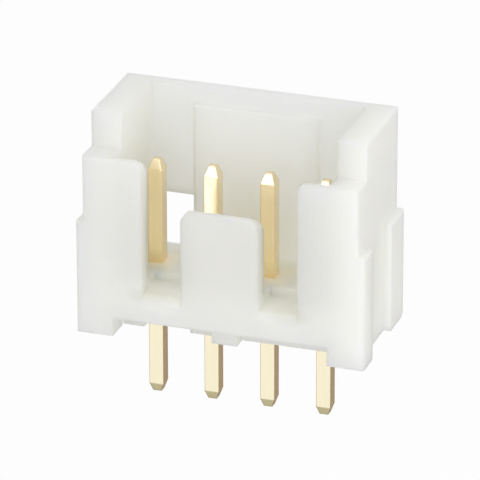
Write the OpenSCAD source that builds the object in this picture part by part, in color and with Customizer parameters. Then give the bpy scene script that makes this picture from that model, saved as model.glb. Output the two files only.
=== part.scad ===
// Shrouded straight board header, four contacts on a 2 mm pitch.
// One moulded nylon housing and four square contacts pressed through its floor.
// X runs along the contact row, the slotted wall faces -Y, and Z = 0 is the board.

/* [Contacts] */
// Number of contacts in the row
positions = 4; // [4:1:12]
// Distance between neighbouring contacts
pitch = 2; // [2:0.05:3]
// Width and thickness of the square wire
pin_w = 0.5; // [0.4:0.01:0.64]
// Height of the mating tips above the board
pin_top = 5.7; // [4:0.05:6.2]
// Length of the solder tails below the board
tail_l = 2.88; // [1.5:0.01:4]
// Length of the pointed lead-in on a mating tip
point_l = 0.34; // [0.1:0.01:0.6]
// Width of the blunt end of a mating tip
point_w = 0.24; // [0.1:0.01:0.35]
// Length of the chamfer on a solder tail
nose_l = 0.3; // [0.1:0.01:0.6]
// Width of the blunt end of a solder tail
nose_w = 0.3; // [0.1:0.01:0.35]

/* [Shroud] */
// Height of the rear and side walls above the board
shroud_h = 7.75; // [7:0.05:10]
// Height of the two front corner blocks
block_h = 6.45; // [5.6:0.05:6.9]
// From the contact row to the front face
front_d = 2.4; // [2.2:0.05:3]
// From the contact row to the rear face
rear_d = 2.2; // [2:0.05:3]
// From the last contact to the outer face of a side wall
end_d = 1.83; // [1.6:0.01:2.5]
// Thickness of the front wall
front_wall = 0.8; // [0.6:0.05:1]
// From the front face back to the front of the tall walls
step_d = 1.05; // [0.8:0.05:1.1]
// Thickness of the side walls
side_wall = 1.05; // [0.7:0.05:1.15]
// Thickness of the rear wall
rear_wall = 0.48; // [0.4:0.01:0.7]
// Height of the cavity floor
floor_h = 1.95; // [1.75:0.05:2.4]
// Radius of the moulded outer edges
edge_r = 0.08; // [0.05:0.01:0.2]
// Radius of the upright outer edges
upright_r = 0.15; // [0.05:0.01:0.3]

/* [Front wall] */
// Width of each of the two slots
slot_w = 1.42; // [1:0.02:1.6]
// How far a slot ends inside the axis of the last contact
slot_inset = 0.24; // [0.1:0.02:0.6]
// Height of the slot bottoms and of the rear pocket bottoms
sill_h = 1.65; // [1.2:0.05:1.7]
// Height of the tab between the slots
tab_h = 4.9; // [3:0.05:5.5]
// Radius of the upper corners of the tab
tab_r = 0.38; // [0.1:0.02:0.5]
// Radius of the upper inner corners of the blocks
block_r = 0.3; // [0.1:0.02:0.5]
// Flat land along the top of the front wall
lead_land = 0.3; // [0.1:0.05:0.5]
// How far the lead-in slope drops to the inner face
lead_drop = 0.6; // [0.2:0.05:1]
// Radius of the front lip of each slot
lip_r = 0.3; // [0.1:0.02:0.5]
// How far the slot bottoms run in behind the front wall
sill_back = 0.7; // [0.1:0.05:0.9]

/* [Rear wall] */
// Width of the pocket at each end of the rear wall
pocket_w = 1.56; // [1:0.02:1.6]
// Thickness of the key pad between the pockets
pad_t = 0.22; // [0.1:0.01:0.4]
// Distance from the rim down to the top of the pad
pad_drop = 0.6; // [0.2:0.05:1.5]
// Height of the windows through the rear wall
window_h = 2.1; // [1:0.05:3]

/* [End ribs] */
// How far the lower ribs stand out from the ends
rib_out = 0.25; // [0.1:0.01:0.4]
// Height of the top of the ribs
rib_h = 4.05; // [2.5:0.05:5]
// Depth of the front rib, which is also the corner foot
foot_d = 1.05; // [0.7:0.05:1.2]
// Depth of the groove between the ribs
groove_d = 2.05; // [1:0.05:2.4]
// Radius along the lower rear edge
heel_r = 0.45; // [0.2:0.05:0.8]

/* [Underside] */
// Width of the corner feet
foot_w = 1.28; // [0.8:0.02:1.4]
// Clearance above the board along the ends and the rear
under_h = 0.15; // [0.05:0.01:0.3]
// Height of the recess under the front wall
recess_h = 0.65; // [0.3:0.05:1]
// Depth of that recess, back to the raised seat
recess_d = 1.13; // [1.1:0.01:1.3]
// Width of the small centre foot
centre_foot_w = 0.9; // [0.4:0.05:1.5]
// Distance of the centre foot behind the front face
centre_foot_back = 0.58; // [0.3:0.02:0.8]
// Distance of the raised seat in front of the rear face
seat_back = 0.92; // [0.3:0.02:1.4]
// Width of the notch between the first two contacts
notch_w = 1.65; // [0.8:0.05:1.8]
// From the first contact to the near side of the notch
notch_off = -0.05; // [-0.2:0.05:0.2]
// Depth of the notch
notch_d = 0.6; // [0.3:0.05:0.8]

/* [Hidden] */
row_w = (positions - 1) * pitch;
body_w = row_w + 2 * end_d;
full_w = body_w + 2 * rib_out;
cavity_w = body_w - 2 * side_wall;
block_x = row_w / 2 - slot_inset;       // inner side of a front block
tab_w = 2 * (block_x - slot_w);
pad_w = cavity_w - 2 * pocket_w;
front_y = -front_d;                     // outer face of the front wall
inner_front = front_y + front_wall;     // inner face of the front wall
tall_y = front_y + step_d;              // front of the tall walls
inner_rear = rear_d - rear_wall;        // inner face of the rear wall
pad_y = inner_rear - pad_t;             // face of the key pad
foot_x = full_w / 2 - foot_w;           // inner side of a corner foot
seat_y = front_y + recess_d;            // front of the raised seat
rear_rib_y = front_y + foot_d + groove_d;
cut = 1;                                // how far a cutter runs past a face
$fn = 48;

function pin_x(i) = (i - 1) * pitch - row_w / 2;

// A rectangle from corner a to corner b with its four corners rounded.
module soft_rect(a, b, r) {
    translate([a[0] + r, a[1]]) square([b[0] - a[0] - 2 * r, b[1] - a[1]]);
    translate([a[0], a[1] + r]) square([b[0] - a[0], b[1] - a[1] - 2 * r]);
    for (x = [a[0] + r, b[0] - r], y = [a[1] + r, b[1] - r])
        translate([x, y]) circle(r);
}

// The area to take off an upper left corner at the origin to give it the radius r.
module corner_off(r) {
    difference() {
        translate([-cut, -r]) square(r + cut);
        translate([r, -r]) circle(r);
    }
}

// A block from corner a to corner b.
module block(a, b) {
    translate(a) cube(b - a);
}

// Carries a (Y, Z) profile across the width w, centred on X = 0.
module across(w) {
    rotate([90, 0, 90]) linear_extrude(w, center = true) children();
}

// Carries an (X, Z) profile from Y = front back to Y = rear.
module through(front, rear) {
    translate([0, rear, 0]) rotate([90, 0, 0]) linear_extrude(rear - front) children();
}

// Plan of the parts that are w wide, with their upright edges rounded.
module plan(w) {
    soft_rect([-w / 2, front_y], [w / 2, rear_d], upright_r);
}

// Takes the heel radius off the lower rear edge of a (Y, Z) profile.
module heel_off() {
    translate([rear_d, under_h]) rotate(180) corner_off(heel_r);
}

// End view of the shroud: tall at the rear, stepped down over the front wall.
module side_profile() {
    difference() {
        union() {
            soft_rect([tall_y, under_h], [rear_d, shroud_h], edge_r);
            soft_rect([front_y, recess_h], [tall_y + 2 * edge_r, block_h], edge_r);
            translate([tall_y, under_h]) square([rear_d - tall_y, floor_h]);
        }
        heel_off();
    }
}

// The walls and floor before anything is cut out of them.
module shroud_mass() {
    intersection() {
        across(body_w) side_profile();
        linear_extrude(shroud_h) plan(body_w);
        through(front_y, rear_d)
            soft_rect([-body_w / 2, -cut], [body_w / 2, shroud_h], edge_r);
    }
}

// Ribs on the lower half of both ends. The front ones run down to the board as feet.
module end_ribs() {
    intersection() {
        for (s = [-1, 1])
            translate([s * (full_w - foot_w) / 2, 0, 0]) across(foot_w) difference() {
                union() {
                    soft_rect([front_y, 0], [front_y + foot_d, rib_h], edge_r);
                    translate([rear_rib_y, under_h])
                        square([rear_d - rear_rib_y, rib_h - under_h]);
                }
                heel_off();
            }
        linear_extrude(rib_h) plan(full_w);
    }
}

// The raised seat around the contacts, with the small foot in the middle of its front.
module seat() {
    block([-foot_x, seat_y, 0], [foot_x, rear_d - seat_back, floor_h]);
    block([-centre_foot_w / 2, front_y + centre_foot_back, 0],
          [centre_foot_w / 2, seat_y, recess_h]);
}

// The mating cavity, which leaves the key pad standing on the rear wall.
module cavity() {
    difference() {
        block([-cavity_w / 2, inner_front, floor_h],
              [cavity_w / 2, inner_rear, shroud_h + cut]);
        block([-pad_w / 2, pad_y, 0],
              [pad_w / 2, inner_rear + cut, shroud_h - pad_drop]);
    }
}

// Windows through the foot of the rear wall, one below each pocket beside the pad.
module rear_windows() {
    for (x = [-cavity_w / 2, pad_w / 2])
        block([x, pad_y, sill_h], [x + pocket_w, rear_d + cut, sill_h + window_h]);
}

// Profile of the top of the front wall at height h, sloped on the inside as a lead-in.
module lead_in_profile(h) {
    polygon([[front_y, 0], [front_y, h], [front_y + lead_land, h],
             [inner_front, h - lead_drop], [inner_front, 0]]);
}

// The tab that stands between the two slots.
module tab() {
    intersection() {
        through(front_y, inner_front) soft_rect([-tab_w / 2, 0], [tab_w / 2, tab_h], tab_r);
        across(tab_w) lead_in_profile(tab_h);
    }
}

// Front view of the opening between the blocks, with the two slots at its foot.
module opening_outline() {
    translate([-block_x, floor_h]) square([2 * block_x, block_h + cut - floor_h]);
    for (m = [0, 1]) mirror([m, 0]) {
        translate([tab_w / 2, sill_h]) square([slot_w, block_h - sill_h]);
        translate([block_x, block_h]) corner_off(block_r);
    }
}

// What is open in the front wall around the tab, with a rounded lip at each slot.
module front_opening() {
    difference() {
        through(front_y - cut, inner_front + sill_back) opening_outline();
        tab();
    }
    for (s = [-1, 1])
        translate([s * (tab_w + slot_w) / 2, 0, 0])
            across(slot_w) translate([front_y, sill_h]) corner_off(lip_r);
}

// The slope inside the top of the corner blocks, and the open space above the front wall.
module lead_in() {
    across(cavity_w) difference() {
        translate([front_y + lead_land, block_h - lead_drop])
            square([front_wall - lead_land + sill_back, shroud_h - block_h + lead_drop + cut]);
        lead_in_profile(block_h);
    }
}

// The notch in the front of the seat beside the first contact.
module seat_notch() {
    block([pin_x(1) + notch_off, seat_y - cut / 2, -cut],
          [pin_x(1) + notch_off + notch_w, seat_y + notch_d, recess_h]);
}

// Square holes that the contacts are pressed through.
module pin_holes() {
    for (i = [1:positions])
        block([pin_x(i) - pin_w / 2, -pin_w / 2, -cut],
              [pin_x(i) + pin_w / 2, pin_w / 2, floor_h + cut]);
}

module housing() {
    color([0.9, 0.91, 0.88]) difference() {
        union() {
            shroud_mass();
            end_ribs();
            seat();
        }
        cavity();
        rear_windows();
        front_opening();
        lead_in();
        seat_notch();
        pin_holes();
    }
}

// One view of the wire: chamfered at the tail, pointed at the mating tip.
module wire_outline() {
    half = [[nose_w / 2, -tail_l], [pin_w / 2, nose_l - tail_l],
            [pin_w / 2, pin_top - point_l], [point_w / 2, pin_top]];
    polygon(concat(half, [for (i = [3:-1:0]) [-half[i][0], half[i][1]]]));
}

module pin(i) {
    color([0.88, 0.77, 0.5]) translate([pin_x(i), 0, 0]) intersection() {
        through(-pin_w / 2, pin_w / 2) wire_outline();
        across(pin_w) wire_outline();
    }
}

housing();
for (i = [1:positions]) pin(i);
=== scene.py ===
"""Shrouded straight board header: one moulded nylon housing and four gold plated contacts."""
import math

import bpy
from mathutils import Matrix, Vector


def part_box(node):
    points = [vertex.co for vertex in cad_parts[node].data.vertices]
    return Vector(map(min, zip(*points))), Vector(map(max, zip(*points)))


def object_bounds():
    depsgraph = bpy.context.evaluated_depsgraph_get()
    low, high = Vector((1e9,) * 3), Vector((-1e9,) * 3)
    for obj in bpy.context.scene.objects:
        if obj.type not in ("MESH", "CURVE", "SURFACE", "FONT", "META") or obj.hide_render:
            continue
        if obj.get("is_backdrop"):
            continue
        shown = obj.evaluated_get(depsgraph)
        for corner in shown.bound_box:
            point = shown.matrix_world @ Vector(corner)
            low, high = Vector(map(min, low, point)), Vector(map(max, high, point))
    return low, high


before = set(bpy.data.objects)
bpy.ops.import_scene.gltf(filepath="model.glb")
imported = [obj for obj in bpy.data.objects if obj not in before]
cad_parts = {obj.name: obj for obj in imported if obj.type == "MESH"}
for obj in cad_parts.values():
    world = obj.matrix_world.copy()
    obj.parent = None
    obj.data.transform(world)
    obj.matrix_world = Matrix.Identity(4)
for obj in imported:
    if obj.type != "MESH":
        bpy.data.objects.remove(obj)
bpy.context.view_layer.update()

MM = 0.001
WHITE = (1, 1, 1)

# ---------------------------------------------------------------- camera

# Where the camera stands: turned round from the slotted wall, and raised, in degrees.
CAMERA_TURN = 18.793
CAMERA_RISE = 23.637
CAMERA_ROLL = -0.111
CAMERA_REACH = 181.85 * MM
CAMERA_AIM = Vector((-0.051, 0, 3.092)) * MM
LENS = 404.6
SENSOR = 36

# ---------------------------------------------------------------- stage and light

# The table top lies below the tips of the tails. Seen straight on, it keeps a little of its shading.
FLOOR_SIZE = 2
FLOOR_DROP = 9 * MM
FLOOR_TONE = (0.84, 0.84, 0.84)
FLOOR_SHADING = 0.05

# The card that the tails mirror starts just in front of them and darkens towards the rear.
CARD_SIZE = 100 * MM
CARD_FRONT = -4 * MM
CARD_DROP = 3 * MM
CARD_FADE = 6 * MM
CARD_PALE = (0.76, 0.78, 0.65)
CARD_DARK = (0.36, 0.27, 0.19)

# Strength of the sky at the horizon and straight up.
SKY_LOW = 0.97
SKY_TOP = 0.22

# Each lamp's name, turn and rise in degrees, reach and side in metres, and power in watts.
LAMPS = (
    ("front", 10, 3, 0.3, 0.2, 0.24),        # low in front, on the slotted wall
    ("beside", 19, 24, 0.3, 0.2, 0.05),      # from where the camera stands
    ("fill", 75, 15, 0.06, 0.03, 0.0078),    # close by, on the right end
    ("overhead", 0, 88, 0.3, 0.2, 0.24),     # on the rims and into the cavity
    ("rear", 180, 25, 0.3, 0.2, 0.045),      # on the rear wall
    ("spark", -18, 16, 0.3, 0.06, 0.04),     # small, for the bright noses of the contacts
)

# One contact mirrors a small lamp to the camera from its front, this far below its tip.
GLINT_NODE = "pin_2"
GLINT_BELOW_TIP = 0.9 * MM
GLINT_REACH = 12 * MM
GLINT_SIZE = 2 * MM
GLINT_POWER = 0.000015

# ---------------------------------------------------------------- nylon

# Faint clouds in the plastic, from one tone to the other.
CLOUD_SCALE = 420
CLOUD_TONES = [(0.3, (0.86, 0.87, 0.785)), (0.7, (0.88, 0.89, 0.805))]

# Painted warm shade inside the cavity, standing in for light that passes from wall to wall: its middle, its
# reach and its tint.
CAVITY_MIDDLE = (0, 0.4 * MM, 1.9 * MM)
CAVITY_REACH = (4.4 * MM, 2.0 * MM, 3.2 * MM)
CAVITY_PAINTED_SHADE = [(0, WHITE), (0.6, (0.99, 0.975, 0.93))]

# Height of the cavity's floor, which the contacts come up through.
CAVITY_FLOOR = 1.95 * MM

# Painted shade on the lip of the right slot, which the left one mirrors.
LIP_MIDDLE = (2.39 * MM, -2.25 * MM, 1.66 * MM)
LIP_REACH = (1.0 * MM, 0.7 * MM, 0.4 * MM)
LIP_PAINTED_SHADE = [(0, WHITE), (0.6, (0.87, 0.87, 0.86))]

# Round each contact the plastic gets a painted gold reflection, and has less depth to glow in.
# Each pair is the distance from the contact's axis at which the change starts and ends.
PAINTED_GOLD_REFLECTION = (0.95, 0.88, 0.73, 1)
PAINTED_GOLD_FADE = (0.25 * MM, 0.95 * MM)
GLOW_FADE = (0.45 * MM, 0.95 * MM)
GLOW_COLOUR = (1.0, 0.92, 0.72)
GLOW_DEPTH = 4.5 * MM

# Height above the cavity's floor counts this many times in that distance.
HEIGHT_WEIGHT = 3.0

# Moulded edges look rounded by this much, except where a contact passes through the floor.
SOFT_EDGE = 0.17 * MM
SOFT_EDGE_FADE = (0.3 * MM, 0.5 * MM)

# The satin grain of the mould.
GRAIN_SCALE = 9000
GRAIN_GLOSS = (0.42, 0.5)
GRAIN_DEPTH = 0.01 * MM
GRAIN_STRENGTH = 0.05
NYLON_IOR = 1.5

# ---------------------------------------------------------------- gold

# Draw marks run along the wire, so they are fine across it and long along it.
MARK_SCALE = (9000, 9000, 500)
MARK_TONES = [(0.3, (0.965, 0.875, 0.625)), (0.7, (0.99, 0.895, 0.67))]
MARK_GLOSS = (0.2, 0.26)

# Painted light on the gold by height: paler on the tails, richest at the cavity's floor, where it stands in
# for warm light off the plastic, and a little lighter above it.
PAINTED_LIGHT_TOP = 4 * MM
PLATING_PAINTED_LIGHT = [(0, (0.98, 0.99, 1.0)), (0.48, (1.0, 0.91, 0.78)), (0.7, (1.0, 0.91, 0.79)),
                (0.85, (1.0, 0.93, 0.85))]
WIRE_EDGE = 0.06 * MM


# ---------------------------------------------------------------- node helpers

def new_material(name):
    """An empty node material, with its node tree and its Principled shader."""
    material = bpy.data.materials.new(name)
    material.use_nodes = True
    tree = material.node_tree
    return material, tree, tree.nodes["Principled BSDF"]


def node(tree, kind, **settings):
    """A node of that kind; a setting is a property, or an input if its name has a capital."""
    made = tree.nodes.new(kind)
    for key, value in settings.items():
        if key[0].isupper():
            made.inputs[key.replace("_", " ")].default_value = value
        else:
            setattr(made, key, value)
    return made


def fed(tree, made, **sources):
    """The node, with each named input linked to its source."""
    for key, source in sources.items():
        tree.links.new(source, made.inputs[key.replace("_", " ")])
    return made


def own_place(tree):
    """The point's place on the piece."""
    return node(tree, "ShaderNodeTexCoord").outputs["Object"]


def axes_of(tree, vector):
    """The X, Y and Z of a vector."""
    return fed(tree, node(tree, "ShaderNodeSeparateXYZ"), Vector=vector).outputs


def noise(tree, vector, scale, detail):
    """Noise of that scale and detail, about 0.5 on average."""
    made = node(tree, "ShaderNodeTexNoise", Scale=scale, Detail=detail)
    return fed(tree, made, Vector=vector).outputs["Fac"]


def ramp(tree, source, stops):
    """The colour of source on a ramp with stops of (position, colour)."""
    made = node(tree, "ShaderNodeValToRGB")
    elements = made.color_ramp.elements
    while len(elements) < len(stops):
        elements.new(0.5)
    for element, (place, colour) in zip(elements, stops):
        element.position = place
        element.color = (*colour, 1)
    return fed(tree, made, Fac=source).outputs["Color"]


def grey_ramp(tree, source, greys):
    """The two greys, from one to the other over the middle of the noise."""
    low, high = greys
    return ramp(tree, source, [(0.3, (low,) * 3), (0.7, (high,) * 3)])


def eased(tree, source, start, end, at_start=0.0, at_end=1.0):
    """Goes evenly from at_start to at_end as source goes from start to end, and stays there."""
    made = node(tree, "ShaderNodeMapRange", From_Min=start, From_Max=end, To_Min=at_start, To_Max=at_end)
    return fed(tree, made, Value=source).outputs["Result"]


def sum_of(tree, operation, first, second=None):
    """The result of a sum on one or two values, each a number or a socket."""
    made = node(tree, "ShaderNodeMath", operation=operation)
    for value, socket in zip((first, second), made.inputs):
        if isinstance(value, (int, float)):
            socket.default_value = value
        elif value is not None:
            tree.links.new(value, socket)
    return made.outputs["Value"]


def tinted(tree, colour, tint):
    """The colour times the tint."""
    mix = node(tree, "ShaderNodeMix", data_type="RGBA", blend_type="MULTIPLY")
    mix.inputs["Factor"].default_value = 1.0
    tree.links.new(colour, mix.inputs[6])
    tree.links.new(tint, mix.inputs[7])
    return mix.outputs[2]


def round_fade(tree, vector, middle, reach):
    """1 at the middle, falling to 0 at that reach along each axis."""
    around = node(tree, "ShaderNodeMapping", vector_type="TEXTURE", Location=middle, Scale=reach)
    fade = node(tree, "ShaderNodeTexGradient", gradient_type="SPHERICAL")
    return fed(tree, fade, Vector=fed(tree, around, Vector=vector).outputs["Vector"]).outputs["Fac"]


def mixed(tree, share, first, second):
    """The first shader where share is 0, and the second where it is 1."""
    mix = node(tree, "ShaderNodeMixShader")
    for source, socket in zip((share, first, second), mix.inputs):
        tree.links.new(source, socket)
    return mix.outputs["Shader"]


def seen_directly(tree):
    """1 for rays from the eye, off metal or through plastic, and 0 for the rest."""
    rays = node(tree, "ShaderNodeLightPath").outputs
    shiny = sum_of(tree, "MAXIMUM", rays["Is Camera Ray"], rays["Is Glossy Ray"])
    return sum_of(tree, "MAXIMUM", shiny, rays["Is Transmission Ray"])


# ---------------------------------------------------------------- finishes

def gap_to_contact(tree, place):
    """How far a point lies from the nearest contact's axis, on the axis where it is farthest.

    Height above the cavity's floor counts more, so that only the floor itself is near.
    """
    axes = [sum(corner.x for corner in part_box(f"pin_{number}")) / 2 for number in (1, 2, 3, 4)]
    half_pitch = (axes[1] - axes[0]) / 2
    at = axes_of(tree, place)
    between = sum_of(tree, "SUBTRACT", half_pitch, sum_of(tree, "PINGPONG", at["X"], half_pitch))
    beyond = sum_of(tree, "SUBTRACT", sum_of(tree, "ABSOLUTE", at["X"]), axes[3])
    across = sum_of(tree, "ABSOLUTE", at["Y"])
    above = sum_of(tree, "MULTIPLY", sum_of(tree, "SUBTRACT", at["Z"], CAVITY_FLOOR), HEIGHT_WEIGHT)
    level = sum_of(tree, "MAXIMUM", across, above)
    return sum_of(tree, "MAXIMUM", level, sum_of(tree, "MAXIMUM", between, beyond))


def painted_lip_shade(tree, place):
    """Painted shade, a slightly duller tone, on the rounded lips of the two front slots, fading out round
    them.
    """
    at = axes_of(tree, place)
    folded = node(tree, "ShaderNodeCombineXYZ")
    fed(tree, folded, X=sum_of(tree, "ABSOLUTE", at["X"]), Y=at["Y"], Z=at["Z"])
    return ramp(tree, round_fade(tree, folded.outputs["Vector"], LIP_MIDDLE, LIP_REACH), LIP_PAINTED_SHADE)


def nylon_tone(tree, place, gap):
    """The plastic's colour: cloudy, with painted warm shade in the cavity, painted shade on the lips and a
    painted gold reflection by a contact.
    """
    cloudy = ramp(tree, noise(tree, place, CLOUD_SCALE, 2), CLOUD_TONES)
    # Painted warm shade inside the cavity.
    painted_cavity_shade = ramp(tree, round_fade(tree, place, CAVITY_MIDDLE, CAVITY_REACH), CAVITY_PAINTED_SHADE)
    # Painted gold reflection on the plastic round each contact.
    painted_gold = node(tree, "ShaderNodeMix", data_type="RGBA")
    painted_gold.inputs[6].default_value = PAINTED_GOLD_REFLECTION
    # Painted shade on the slot lips is multiplied into the colour here.
    tree.links.new(tinted(tree, tinted(tree, cloudy, painted_cavity_shade), painted_lip_shade(tree, place)), painted_gold.inputs[7])
    tree.links.new(eased(tree, gap, *PAINTED_GOLD_FADE), painted_gold.inputs["Factor"])
    return painted_gold.outputs[2]


def natural_nylon():
    """Uncoloured nylon: milky, a little translucent, satin, with softly broken edges."""
    material, tree, shader = new_material("natural_nylon")
    place = own_place(tree)
    gap = gap_to_contact(tree, place)
    grain = noise(tree, place, GRAIN_SCALE, 3)
    edge = node(tree, "ShaderNodeBevel", samples=8)
    fed(tree, edge, Radius=eased(tree, gap, *SOFT_EDGE_FADE, at_end=SOFT_EDGE))
    bump = node(tree, "ShaderNodeBump", Strength=GRAIN_STRENGTH, Distance=GRAIN_DEPTH)
    fed(tree, bump, Height=grain, Normal=edge.outputs["Normal"])
    fed(tree, shader, Base_Color=nylon_tone(tree, place, gap), Roughness=grey_ramp(tree, grain, GRAIN_GLOSS),
        Normal=bump.outputs["Normal"], Subsurface_Weight=eased(tree, gap, *GLOW_FADE))
    shader.inputs["IOR"].default_value = NYLON_IOR
    shader.inputs["Subsurface Radius"].default_value = GLOW_COLOUR
    shader.inputs["Subsurface Scale"].default_value = GLOW_DEPTH
    return material


def gold_plate():
    """Thin gold plating on square wire, with faint draw marks along it and painted light that changes with
    height.
    """
    material, tree, shader = new_material("gold_plate")
    place = own_place(tree)
    stretch = fed(tree, node(tree, "ShaderNodeMapping", Scale=MARK_SCALE), Vector=place)
    marks = noise(tree, stretch.outputs["Vector"], 1, 3)
    # Painted light on the gold, changing with height.
    height = eased(tree, axes_of(tree, place)["Z"], 0, PAINTED_LIGHT_TOP)
    tone = tinted(tree, ramp(tree, marks, MARK_TONES), ramp(tree, height, PLATING_PAINTED_LIGHT))
    edge = node(tree, "ShaderNodeBevel", samples=8, Radius=WIRE_EDGE)
    fed(tree, shader, Base_Color=tone, Roughness=grey_ramp(tree, marks, MARK_GLOSS),
        Normal=edge.outputs["Normal"])
    shader.inputs["Metallic"].default_value = 1.0
    return material


def floor_white():
    """A matt white table top. Seen straight on it is plain white, and from below it isn't seen."""
    material, tree, shader = new_material("floor_white")
    shader.inputs["Base Color"].default_value = (*FLOOR_TONE, 1)
    shader.inputs["Roughness"].default_value = 0.9
    shader.inputs["Specular IOR Level"].default_value = 0.0
    glow = node(tree, "ShaderNodeEmission", Strength=1.0).outputs["Emission"]
    share = sum_of(tree, "MULTIPLY", seen_directly(tree), 1 - FLOOR_SHADING)
    top = mixed(tree, share, shader.outputs["BSDF"], glow)
    underneath = node(tree, "ShaderNodeNewGeometry").outputs["Backfacing"]
    clear = node(tree, "ShaderNodeBsdfTransparent").outputs["BSDF"]
    fed(tree, tree.nodes["Material Output"], Surface=mixed(tree, underneath, top, clear))
    return material


def shaded_card():
    """Matt card, pale along its front and dark brown behind."""
    material, tree, shader = new_material("dark_card")
    front = -CARD_SIZE / 2
    rows = eased(tree, axes_of(tree, own_place(tree))["Y"], front, front + CARD_FADE)
    fed(tree, shader, Base_Color=ramp(tree, rows, [(0, CARD_PALE), (1, CARD_DARK)]))
    return material


# ---------------------------------------------------------------- the header

def dress(piece, material):
    """The piece keeps its exact shape and gets the material."""
    piece.data.materials.clear()
    piece.data.materials.append(material)


def dress_header():
    """The moulded housing in nylon, and every contact in gold."""
    dress(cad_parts["housing"], natural_nylon())
    plating = gold_plate()
    for name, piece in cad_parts.items():
        if name.startswith("pin_"):
            dress(piece, plating)


# ---------------------------------------------------------------- stage, light, camera

def flat_square(name, size, place, material):
    """A flat square of that size, lying level with its middle at place."""
    bpy.ops.object.select_all(action="DESELECT")
    bpy.ops.mesh.primitive_plane_add(size=size, location=place)
    square = bpy.context.object
    square.name = name
    square.data.materials.append(material)
    return square


def floor():
    """The table top."""
    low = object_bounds()[0]
    plane = flat_square("floor", FLOOR_SIZE, (0, 0, low.z - FLOOR_DROP), floor_white())
    plane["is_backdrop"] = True


def dark_card():
    """A card under and behind the header that only shiny surfaces see. It gives the tails a dark side."""
    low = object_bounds()[0]
    middle = (0, CARD_FRONT + CARD_SIZE / 2, low.z - CARD_DROP)
    card = flat_square("dark_card", CARD_SIZE, middle, shaded_card())
    card.visible_camera = False
    card.visible_diffuse = False
    card.visible_shadow = False
    card.visible_transmission = False
    card.visible_volume_scatter = False
    card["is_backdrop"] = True


def sky():
    """Soft light from all round, weaker from above, that looks plain white where it is seen."""
    made = bpy.data.worlds.new("studio")
    made.use_nodes = True
    tree = made.node_tree
    dome = tree.nodes["Background"]
    dome.inputs["Color"].default_value = (*WHITE, 1)
    towards = node(tree, "ShaderNodeTexCoord").outputs["Generated"]
    fed(tree, dome, Strength=eased(tree, axes_of(tree, towards)["Z"], 0, 1, SKY_LOW, SKY_TOP))
    plain = node(tree, "ShaderNodeBackground", Color=(*WHITE, 1), Strength=1.0)
    both = mixed(tree, seen_directly(tree), dome.outputs["Background"], plain.outputs["Background"])
    fed(tree, tree.nodes["World Output"], Surface=both)
    bpy.context.scene.world = made


def direction(turn, rise):
    """The way to a thing turned round from the slotted wall and raised by that much, in degrees."""
    turn, rise = math.radians(turn), math.radians(rise)
    return Vector((math.sin(turn) * math.cos(rise), -math.cos(turn) * math.cos(rise), math.sin(rise)))


def softbox(name, turn, rise, reach, size, power, aim=CAMERA_AIM):
    """A square lamp at that turn, rise and reach from its aim, facing it. The eye doesn't see it."""
    away = direction(turn, rise)
    data = bpy.data.lights.new(name, "AREA")
    data.shape = "SQUARE"
    data.size = size
    data.energy = power
    lamp = bpy.data.objects.new(name, data)
    bpy.context.scene.collection.objects.link(lamp)
    lamp.location = aim + away * reach
    lamp.rotation_euler = away.to_track_quat("Z", "Y").to_euler()
    lamp.visible_camera = False


def light():
    """The soft lamps round the header, and the small one that one contact's front mirrors."""
    for lamp in LAMPS:
        softbox(*lamp)
    low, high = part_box(GLINT_NODE)
    shining = Vector(((low.x + high.x) / 2, low.y, high.z - GLINT_BELOW_TIP))
    softbox("glint", -CAMERA_TURN, -CAMERA_RISE, GLINT_REACH, GLINT_SIZE, GLINT_POWER, aim=shining)


def camera():
    """A long lens, aimed at the middle of the header."""
    turn = math.radians(CAMERA_TURN)
    roll = math.radians(CAMERA_ROLL)
    back = direction(CAMERA_TURN, CAMERA_RISE)
    level = Vector((math.cos(turn), math.sin(turn), 0))
    right = level * math.cos(roll) + back.cross(level) * math.sin(roll)
    data = bpy.data.cameras.new("camera")
    data.lens = LENS
    data.sensor_width = SENSOR
    data.clip_start = 1 * MM
    data.clip_end = 10
    made = bpy.data.objects.new("camera", data)
    bpy.context.scene.collection.objects.link(made)
    turned = Matrix((right, back.cross(right), back)).transposed().to_4x4()
    made.matrix_world = Matrix.Translation(CAMERA_AIM + back * CAMERA_REACH) @ turned
    bpy.context.scene.camera = made


bpy.context.scene.view_settings.view_transform = "Standard"
camera()
dress_header()
floor()
sky()
light()
dark_card()
